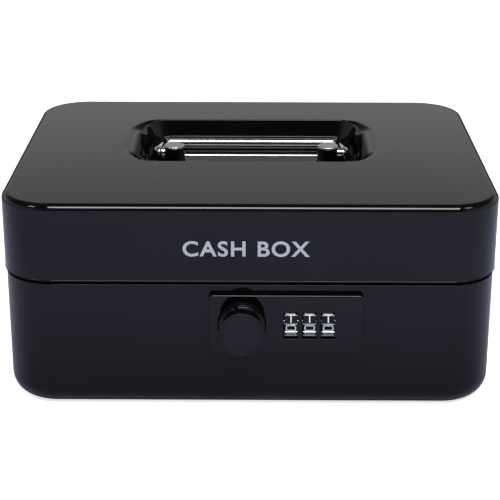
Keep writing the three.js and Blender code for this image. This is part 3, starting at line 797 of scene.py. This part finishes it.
# ---- Body ---------------------------------------------------------------------------------------
@dataclass
class Body:
    """The drawn tub under the lid, with the opening that the lock's case passes through."""

    corner: float = 20.4
    foot: float = 9.0
    shoulder: float = 54.15
    sheet: float = 0.8
    step_radius: float = 0.14
    neck: float = 1.5

    def tub(self) -> bpy.types.Object:
        """Flat base, round foot, straight wall, and a rim stepped in by one sheet.

        Returns:
            The piece.
        """
        half_x, half_y, rim = cad_box("body_tub")[1]
        case_low, case_high = cad_box("lock_case")
        left, right, bottom, top = case_low[0] - 0.3, case_high[0] + 0.3, case_low[2] - 0.3, case_high[2] + 0.3
        span = 2 * (half_x - self.corner)
        stops = sorted([0.003, 0.2, (left + span / 2) / span, (right + span / 2) / span, 0.85, 0.997])
        plan = Outline(half_x, half_y, self.corner, front_stops=tuple(stops))
        turn = np.radians(np.linspace(0, 90, 17))
        profile = list(zip(self.foot * (1 - np.sin(turn)), self.foot * (1 - np.cos(turn))))
        step = rounded([(0, top + 1), (0, self.shoulder), (self.neck, self.shoulder + 0.05), (self.neck, rim)],
                       [0, self.step_radius, 0.2, 0], 6)
        profile += [(0, self.foot + 0.3), (0, bottom), (0, top)] + [tuple(p) for p in step] + [(self.neck, rim - 0.01)]
        rings = [at_height(plan.ring(inset), height) for inset, height in profile[:-1]]

        def outside_opening(centre: np.ndarray) -> np.ndarray:
            """Whether a face's centre is clear of the case's opening."""
            inside = (centre[:, 0] > left) & (centre[:, 0] < right) & (centre[:, 2] > bottom) & (centre[:, 2] < top)
            return ~(inside & (centre[:, 1] < 0))

        skin = Skin().grid(np.array(rings), keep=outside_opening).cap(rings[0])
        return skin.object("body_tub_piece", thickness=self.sheet)

    def build(self) -> None:
        """Makes the body's pieces."""
        mount(self.tub(), "body", PAINT, "body_tub")
        for side in ("left", "right"):
            refined(f"tray_ledge_{side}", PAINT, 0.2)


# ---- Lock ---------------------------------------------------------------------------------------
FIGURES: tuple[tuple[tuple[Pair, ...], ...], ...] = (
    (((-1, -1), (1, -1), (1, 1), (-1, 1), (-1, -1)),),
    (((0, -1), (0, 1.45)),),
    (((-1, 1), (1, 1), (1, 0), (-1, 0), (-1, -1), (1, -1)),),
    (((-1, 1), (1, 1), (1, -1), (-1, -1)), ((-0.5, 0), (1, 0))),
    (((-1, 1), (-1, 0), (1, 0)), ((0.5, 1), (0.5, -1))),
    (((1, 1), (-1, 1), (-1, 0), (1, 0), (1, -1), (-1, -1)),),
    (((1, 1), (-1, 1), (-1, -1), (1, -1), (1, 0), (-1, 0)),),
    (((-1, 1), (1, 1), (-0.1, -1)),),
    (((-1, -1), (1, -1), (1, 1), (-1, 1), (-1, -1)), ((-1, 0), (1, 0))),
    (((1, 0), (-1, 0), (-1, 1), (1, 1), (1, -1), (-1, -1)),),
)


@dataclass
class Dial:
    """A ten-sided number dial: flat facets with a figure on each, and a raised silver rib between them.

    At rest the dial stands a few degrees below a whole step, which is `settle`.
    """

    name: str
    rib: float = 1.75
    foot: float = 4.6
    root: float = 5.5
    settle: float = -7.0
    figure: Pair = (2.05, 1.32)
    stroke: float = 0.45
    radius: float = 5.82

    def __post_init__(self) -> None:
        """Takes the dial's place from the frame."""
        low, high = cad_box(self.name)
        self.left, self.right = low[0], high[0]
        self.axis = (low + high) / 2

    def radial(self, degrees: np.ndarray, radius: Any, across: Any) -> np.ndarray:
        """Points by their angle about the axle, up from straight forward.

        Args:
            degrees: the angles.
            radius: distances from the axle's middle.
            across: places along the axle.

        Returns:
            XYZ points.
        """
        turn = np.radians(degrees + self.settle)
        return np.stack([across + 0 * turn, self.axis[1] - radius * np.cos(turn), self.axis[2] + radius * np.sin(turn)],
                        axis=-1)

    def wheel(self) -> bpy.types.Object:
        """The dial's drum: facets at a fixed distance, root / cos of the angle from the facet's middle.

        Returns:
            The piece.
        """
        angle = np.linspace(0, 360, 240, endpoint=False)
        facet = (angle + 18) % 36 - 18
        reach = np.minimum(self.root * math.cos(math.radians(18 - self.foot)) / np.cos(np.radians(facet)), self.root)
        edge = 0.25
        rows = [(self.left, -edge), (self.left + edge, 0), (self.right - edge, 0), (self.right, -edge)]
        rings = np.array([self.radial(angle, reach + change, x) for x, change in rows])
        bore = [self.radial(angle, np.full(240, 1.55), x) for x in (self.right, self.left)]
        skin = Skin().grid(np.concatenate([rings, bore]), along=True)
        return skin.object(f"{self.name}_wheel", sharp=12)

    def ribs(self) -> bpy.types.Object:
        """The silver ribs: a rounded bar on each corner of the drum, radius + height * cos across it.

        Returns:
            The piece.
        """
        skin = Skin()
        share = np.linspace(-1, 1, 9)
        rise = self.radius - self.root + 0.35
        for k in range(10):
            angle = 18 + 36 * k + share * (self.rib + 0.4)
            reach = self.root - 0.35 + rise * (1 - np.abs(share) ** 4)
            ends = np.array([[self.left + 0.02, -0.2], [self.left + 0.22, 0], [self.right - 0.22, 0],
                             [self.right - 0.02, -0.2]])
            rows = np.array([self.radial(angle, np.maximum(reach + drop, self.root - 0.4), x) for x, drop in ends])
            skin.grid(rows, around=False)
            for row in (rows[0], rows[-1]):
                skin.cap(row)
            skin.grid(np.stack([rows[:, -1], rows[:, 0]], axis=1), around=False)
        return skin.object(f"{self.name}_ribs", sharp=50)

    def figures(self) -> bpy.types.Object:
        """The ten figures, each a flat stroke of constant width carried along rounded lines on its facet.

        Returns:
            The piece.
        """
        skin = Skin()
        face = self.root * math.cos(math.radians(18 - self.foot))
        size = np.array(self.figure) - self.stroke / 2
        for k, lines in enumerate(FIGURES):
            for layer, line in enumerate(lines):
                corners = np.array(line) * size
                closed = len(line) > 2 and line[0] == line[-1]
                points = corners[:-1] if closed else corners
                path = rounded(points, [0.55] * len(points), 6, closed)
                step = np.roll(path, -1, axis=0) - np.roll(path, 1, axis=0) if closed else np.gradient(path, axis=0)
                if not closed:
                    step[0], step[-1] = path[1] - path[0], path[-1] - path[-2]
                side = np.stack([-step[:, 1], step[:, 0]], axis=1)
                side *= self.stroke / 2 / np.linalg.norm(side, axis=1)[:, None]
                turn = math.radians(36 * k + self.settle)
                outward = np.array([0, -math.cos(turn), math.sin(turn)])
                up = np.array([0, math.sin(turn), math.cos(turn)])
                rows = []
                for offset, height in ((1, -0.1), (1, 0.035), (-1, 0.035), (-1, -0.1)):
                    flat = path + side * offset
                    rows.append(self.axis + flat[:, :1] * [1, 0, 0] + flat[:, 1:] * up
                                + outward * (face + height + 0.002 * layer))
                rows = np.stack(rows, axis=1)
                skin.grid(rows, along=closed)
                if not closed:
                    skin.cap(rows[0]).cap(rows[-1])
        return skin.object(f"{self.name}_figures", sharp=30)

    def build(self) -> None:
        """Makes the dial's pieces."""
        mount(self.wheel(), self.name, DIAL_LOOK, self.name)
        mount(self.ribs(), self.name, FOIL)
        mount(self.figures(), self.name, FIGURE_INK)


@dataclass
class Lock:
    """The plate with its windows, the knob on its collar, the dials, and the works behind them."""

    corner: float = 1.6
    edge: float = 0.55
    window_half: Pair = (2.85, 5.75)
    window_corner: float = 0.3
    window_edge: float = 0.18
    window_drop: float = 0.6
    lip: float = 0.42
    opening_half: Pair = (3.15, 6.3)
    collar_reach: float = 0.6
    bore_gap: float = 0.25
    collar_bore: float = 4.2
    cap: float = 8.2
    cap_gap: float = 0.08
    cap_seat: float = 1.1
    cap_sink: float = 0.02
    shank: float = 3.35
    rim_width: float = 1.2
    neck_start: float = 2.0
    foot_width: float = 0.7
    serrations: int = 72
    tooth_length: float = 1.4
    tooth_depth: float = 0.16
    flare: float = 1.0
    mark: Pair = (1.0, 5.4)

    def plate(self) -> bpy.types.Object:
        """The face with its openings, and a wall carried back from each outline over a rounded edge.

        Behind a thin lip each window opens out round its dial's axle, so that the dial turns clear of the plate.

        Returns:
            The piece.
        """
        low, high = cad_box("lock_plate")
        mid, half = (low + high) / 2, (high - low) / 2
        face, back = low[1], high[1]
        turn = np.radians(np.linspace(0, 90, 6))

        def loop(half_x: float, half_z: float, radius: float, x: float, z: float, depth: float) -> np.ndarray:
            """A rounded rectangle in the plate's plane, at one depth."""
            plan = Outline(half_x, half_z, radius, steps=8, stops=(0.02, 0.5, 0.98)).ring()
            return np.column_stack([plan[:, 0] + x, np.full(len(plan), depth), plan[:, 1] + z])

        def wall(sign: int, half_x: float, half_z: float, radius: float, edge: float, x: float,
                 z: float) -> list[np.ndarray]:
            """The loops of one outline from the face to the back."""
            steps = [(edge * (1 - math.sin(t)), face + edge * (1 - math.cos(t))) for t in turn]
            steps += [(0, face + edge + 0.1), (0, back)]
            return [loop(half_x - sign * c, half_z - sign * c, radius - sign * c, x, z, y) for c, y in steps]

        stacks = [wall(1, half[0], half[2], self.corner, self.edge, mid[0], mid[2])]
        for dial in ("dial_left", "dial_middle", "dial_right"):
            x = float(sum(cad_box(dial))[0] / 2)
            window = (*self.window_half, self.window_corner)
            z, inner = mid[2] - self.window_drop, face + self.lip
            lip = wall(-1, *window, self.window_edge, x, z)[:-2] + [loop(*window, x, z, inner)]
            behind = [loop(*self.opening_half, self.window_corner, x, mid[2], y) for y in (inner, back)]
            stacks.append(lip + behind)
        spindle_low, spindle_high = cad_box("knob_spindle")
        bore = (spindle_high[0] - spindle_low[0]) / 2 + self.bore_gap
        centre = (spindle_low + spindle_high) / 2
        stacks.append(wall(-1, bore, bore, bore - 0.02, 0.01, centre[0], centre[2]))
        skin = Skin().sheet([s[0] for s in stacks]).sheet([s[-1] for s in stacks])
        for stack in stacks:
            skin.grid(np.array(stack))
        return skin.object("plate_moulding")

    def knob(self) -> None:
        """The collar, the knob with its finely serrated rim, and the disc in its face with a plain turn mark."""
        low, high = cad_box("knob")
        mid, radius = (low + high) / 2, (high[0] - low[0]) / 2
        face, base = low[1], high[1]
        centre = (mid[0], 0, mid[2])
        collar_low, collar_high = cad_box("knob_collar")
        reach = radius + self.collar_reach
        profile = rounded([(self.collar_bore, collar_high[1]), (reach, collar_high[1]), (reach, collar_low[1]),
                           (self.collar_bore, collar_low[1])], [0, 0.05, 0.4, 0], 6, True)
        mount(Skin().turned(np.vstack([profile, profile[:1]]), Axis.Y, centre, 96).object("collar_ring"), "body",
              COLLAR_LOOK, "knob_collar")
        groove, waist = self.cap + self.cap_gap, radius - self.flare
        rim, neck, foot = face + self.rim_width, face + self.neck_start, base - self.foot_width
        profile = rounded([(0, face + self.cap_seat), (groove, face + self.cap_seat), (groove, face), (radius, face),
                           (radius, rim), (waist, neck), (waist, foot), (radius, foot), (radius, base),
                           (self.shank, base), (self.shank, face + 3), (0, face + 3)],
                          [0, 0, 0.05, 0.22, 0.2, 0.6, 1.7, 0.2, 0.25, 0, 0, 0], 8)

        def serrated(turn: np.ndarray, rows: np.ndarray) -> np.ndarray:
            """Fine teeth on the front rim, deepest at the face and gone a little behind it."""
            near = np.clip(1 - (rows[:, 1] - face) / self.tooth_length, 0, 1) ** 0.5 * (rows[:, 0] > groove + 0.2)
            return -self.tooth_depth * near[:, None] * (0.5 + 0.5 * np.cos(turn * self.serrations))

        skin = Skin().turned(profile, Axis.Y, centre, self.serrations * 6, serrated)
        mount(skin.object("knob_grip", sharp=50), "knob", KNOB_LOOK, "knob")
        disc = face + self.cap_sink
        profile = rounded([(0, face + 0.8), (self.cap, face + 0.8), (self.cap, disc), (0, disc)], [0, 0, 0.06, 0], 4)
        skin = self.turn_mark(Skin().turned(profile, Axis.Y, centre, 96), mid[0], mid[2], disc)
        mount(skin.object("knob_disc"), "knob", KNOB_LOOK, "knob_cap")

    def turn_mark(self, skin: Skin, x: float, z: float, floor: float) -> Skin:
        """A raised straight bar with round ends across the disc, in low relief.

        Args:
            skin: the disc's skin.
            x: the disc's middle.
            z: the disc's middle height.
            floor: the place of the disc's face.

        Returns:
            The skin.
        """
        rows = []
        for inset, depth in ((0, 0.1), (0, -0.04), (0.12, -0.13), (0.3, -0.16)):
            half_x, half_z = self.mark[0] - inset, self.mark[1] - inset
            plan = Outline(half_x, half_z, half_x - 0.05, steps=10, stops=(0.5,)).ring()
            rows.append(np.column_stack([plan[:, 0] + x, np.full(len(plan), floor + depth), plan[:, 1] + z]))
        return skin.grid(np.array(rows)).cap(rows[-1])

    def build(self) -> None:
        """Makes the lock's pieces."""
        mount(self.plate(), "body", PLATE, "lock_plate")
        self.knob()
        for name in ("dial_left", "dial_middle", "dial_right"):
            Dial(name).build()
        for node in ("lock_case", "lock_cover", "lock_clamp", "lock_screw_left", "lock_screw_right", "cover_screw_1",
                     "cover_screw_2", "knob_spindle", "lock_cam", "cam_washer", "cam_nut"):
            refined(node, ZINC)
        for node in ("dial_axle", "detent_spring_1", "detent_spring_2", "detent_spring_3"):
            refined(node, STEEL, 0.05)
        for node in ("reset_lever", "locking_bar"):
            refined(node, BRASS, 0.12)


# ---- Hinge and tray -----------------------------------------------------------------------------
@dataclass
class Hinge:
    """The two leaves, their rivets and the pin at the back."""

    rivets: tuple[float, ...] = (-55.0, -27.5, 0.0, 27.5, 55.0)
    head: float = 2.3
    rise: float = 0.8

    def heads(self, name: str, leaf: str, share: float) -> bpy.types.Object:
        """A row of domed rivet heads on a leaf: the height falls as the square of the radius.

        Args:
            name: the piece's name.
            leaf: the CAD node of the leaf.
            share: how far down the leaf the row is.

        Returns:
            The piece.
        """
        low, high = cad_box(leaf)
        z = low[2] + (high[2] - low[2]) * share
        face = low[1] + 0.8
        radius = np.linspace(self.head, 0, 9)
        profile = np.vstack([[0, face - 0.3], [self.head, face - 0.3],
                             np.column_stack([radius, face + self.rise * (1 - (radius / self.head) ** 2)])])
        skin = Skin()
        for x in self.rivets:
            skin.turned(profile, Axis.Y, (x, 0, z), 32)
        return skin.object(name)

    def build(self) -> None:
        """Makes the hinge's pieces."""
        refined("hinge_body_leaf", PAINT, 0.2)
        refined("hinge_lid_leaf", PAINT, 0.2)
        refined("hinge_pin", ZINC, 0.2)
        mount(self.heads("hinge_rivets_body", "hinge_body_leaf", 0.36), "body", PAINT)
        mount(self.heads("hinge_rivets_lid", "hinge_lid_leaf", 0.72), "lid", PAINT)


# ---- Studio -------------------------------------------------------------------------------------
@dataclass
class Studio:
    """The floor, the softboxes, the room that the gloss mirrors, and the camera."""

    camera_place: tuple[float, float, float] = (3.559, -612.569, 269.734)
    yaw: float = -0.362
    pitch: float = 20.627
    roll: float = 0.093
    lens: float = 104.26
    floor_half: float = 8.0
    floor_glow: float = 0.75
    floor_seen: Color = (0.8, 0.8, 0.8)
    floor_mirrored: Color = (0.48, 0.495, 0.67)
    shade_from: tuple[float, float, float] = (0.09, 0.07, 1.0)
    shade_ends: Pair = (-0.06, 0.13)
    shade_least: float = 0.4
    behind_ends: Pair = (0.02, 0.2)
    behind_loss: float = 0.25
    softbox_height: float = 57.0
    softbox_reach: float = 1.3
    softbox_side: float = 0.13
    softbox_size: Pair = (0.78, 0.5)
    softbox_power: float = 25.0
    side_way: tuple[float, float, float] = (0.56, -0.36, 0.75)
    side_size: float = 0.24
    side_power: float = 2.4
    room_tint: Color = (1.0, 1.0, 0.97)
    room_behind: tuple[Pair, ...] = ((0.0, 0.06), (0.1, 0.12), (0.18, 0.36), (0.235, 0.62), (0.262, 0.62),
                                     (0.322, 0.44), (0.45, 0.14), (0.75, 0.06), (0.9, 0.1))
    room_ahead: tuple[Pair, ...] = ((0.0, 0.02), (0.2, 0.04), (0.28, 0.34), (0.36, 0.42), (0.43, 0.1), (0.5, 0.03))
    room_sides: tuple[Pair, ...] = ((0.0, 0.8), (0.33, 0.7), (0.46, 0.3), (0.6, 0.05), (0.9, 0.05))
    back_ends: Pair = (-0.35, 0.35)
    side_ends: Pair = (0.42, 0.75)

    def floor(self) -> None:
        """A floor: white when looked at, and in the gloss a darker, bluer copy with painted shade near and behind the
        box.
        """
        half = self.floor_half / MM
        place = np.linspace(-half, half, 3)
        x, y = np.meshgrid(place, place, indexing="ij")
        made = Skin().grid(np.stack([x, y, 0 * x - 0.05], axis=-1), around=False).object("floor")
        material = bpy.data.materials.new("floor")
        shader = Shader(material)
        looked = shader.node("ShaderNodeLightPath").outputs["Is Camera Ray"]
        place = whole = shader.node("ShaderNodeTexCoord").outputs["Object"]
        for step, amount in (("ABSOLUTE", (0, 0, 0)), ("SUBTRACT", self.shade_from), ("MAXIMUM", (0, 0, 0))):
            place = shader.node("ShaderNodeVectorMath", {"operation": step}, {0: place, 1: amount}).outputs[0]
        away = shader.node("ShaderNodeVectorMath", {"operation": "LENGTH"}, {0: place}).outputs["Value"]
        parts = shader.node("ShaderNodeSeparateXYZ", inputs={0: whole})
        # Painted shade: the tone seen in the gloss darkens near the box, as a contact shadow, and behind it.
        near = Value(shader, away).between(*self.shade_ends) * (1 - self.shade_least) + self.shade_least
        behind = Value(shader, parts.outputs[1]).between(*self.behind_ends) * -self.behind_loss + 1
        shade = shader.node("ShaderNodeVectorMath", {"operation": "SCALE"}, {0: self.floor_mirrored, 3: near * behind})
        strength = Value(shader, looked) * self.floor_glow
        glow = shader.node("ShaderNodeEmission", inputs={"Color": (1, 1, 1, 1), "Strength": strength})
        # Painted light: the camera sees a white floor, while the gloss sees a darker, bluer painted copy of it.
        tone = shader.mix(looked, shade.outputs[0], self.floor_seen)
        matt = shader.node("ShaderNodeBsdfDiffuse", inputs={"Color": tone})
        both = shader.node("ShaderNodeAddShader", inputs={0: glow.outputs[0], 1: matt.outputs[0]})
        shader.node("ShaderNodeOutputMaterial", inputs={"Surface": both.outputs[0]})
        made.data.materials.append(material)

    def softbox(self, name: str, way: Vector, size: Pair, power: float, shift: float = 0.0) -> None:
        """Adds one rectangular light that faces the origin.

        Args:
            name: the last part of its name.
            way: its direction from the origin.
            size: its width and height.
            power: its power in watts.
            shift: how far it is then moved to the right.
        """
        data = bpy.data.lights.new(f"softbox_{name}", "AREA")
        data.shape, (data.size, data.size_y), data.energy = "RECTANGLE", size, power
        made = bpy.data.objects.new(f"softbox_{name}", data)
        bpy.context.scene.collection.objects.link(made)
        made.location = way.normalized() * self.softbox_reach
        made.rotation_euler = (-made.location).to_track_quat("-Z", "Y").to_euler()
        made.location.x += shift

    def light(self) -> None:
        """A large softbox in front and above, and a small one at each side."""
        up = math.radians(self.softbox_height)
        self.softbox("main", Vector((0, -math.cos(up), math.sin(up))), self.softbox_size, self.softbox_power,
                     self.softbox_side)
        x, y, z = self.side_way
        for name, sign in (("left", -1), ("right", 1)):
            self.softbox(name, Vector((sign * x, y, z)), (self.side_size, self.side_size), self.side_power)

    def room(self) -> None:
        """The room in the gloss: a pale band low down behind, a dimmer one ahead, pale sides. White when looked at."""
        world = bpy.data.worlds.new("room")
        bpy.context.scene.world = world
        shader = Shader(world)
        direction = shader.node("ShaderNodeTexCoord").outputs["Generated"]
        parts = shader.node("ShaderNodeSeparateXYZ", inputs={0: direction})
        across, back, rise = (Value(shader, parts.outputs[k]) for k in range(3))

        def ramp(stops: Sequence[Pair]) -> Any:
            """The room's brightness by the height of the direction, as a colour socket."""
            tones = [(place, tuple(tone * tint for tint in self.room_tint)) for place, tone in stops]
            return shader.node("ShaderNodeValToRGB", {"stops": tones}, {0: rise}).outputs[0]

        seen = shader.mix(back.between(*self.back_ends), ramp(self.room_ahead), ramp(self.room_behind))
        aside = across.math("ABSOLUTE", across).between(*self.side_ends)
        seen = shader.mix(aside, seen, ramp(self.room_sides))
        looked = shader.node("ShaderNodeLightPath").outputs["Is Camera Ray"]
        final = shader.mix(looked, seen, (1, 1, 1))
        backdrop = shader.node("ShaderNodeBackground", inputs={"Color": final, "Strength": 1.0})
        shader.node("ShaderNodeOutputWorld", inputs={"Surface": backdrop.outputs[0]})

    def camera(self) -> None:
        """The camera, turned by yaw, pitch and roll."""
        yaw, pitch, roll = (math.radians(a) for a in (self.yaw, self.pitch, self.roll))
        ahead = np.array([math.sin(yaw) * math.cos(pitch), math.cos(yaw) * math.cos(pitch), -math.sin(pitch)])
        level = np.array([math.cos(yaw), -math.sin(yaw), 0])
        upright = np.cross(level, ahead)
        right = level * math.cos(roll) + upright * math.sin(roll)
        up = upright * math.cos(roll) - level * math.sin(roll)
        data = bpy.data.cameras.new("camera")
        data.lens, data.sensor_width, data.clip_end = self.lens, 36.0, 100.0
        made = bpy.data.objects.new("camera", data)
        bpy.context.scene.collection.objects.link(made)
        turn = Matrix(np.column_stack([right, up, -ahead]).tolist()).to_4x4()
        made.matrix_world = Matrix.Translation(Vector(self.camera_place) * MM) @ turn
        bpy.context.scene.camera = made

    def build(self) -> None:
        """Sets up the studio."""
        bpy.context.scene.view_settings.view_transform = "Standard"
        self.floor()
        self.light()
        self.room()
        self.camera()


def main() -> None:
    """Builds the studio and each sub-assembly in order."""
    logging.basicConfig(level=logging.INFO, format="%(name)s: %(message)s")
    Studio().build()
    Body().build()
    Lid().build()
    Handle().build()
    Lock().build()
    Hinge().build()
    refined("coin_tray", TRAY_LOOK, 0.4)


if __name__ == "__main__":
    main()
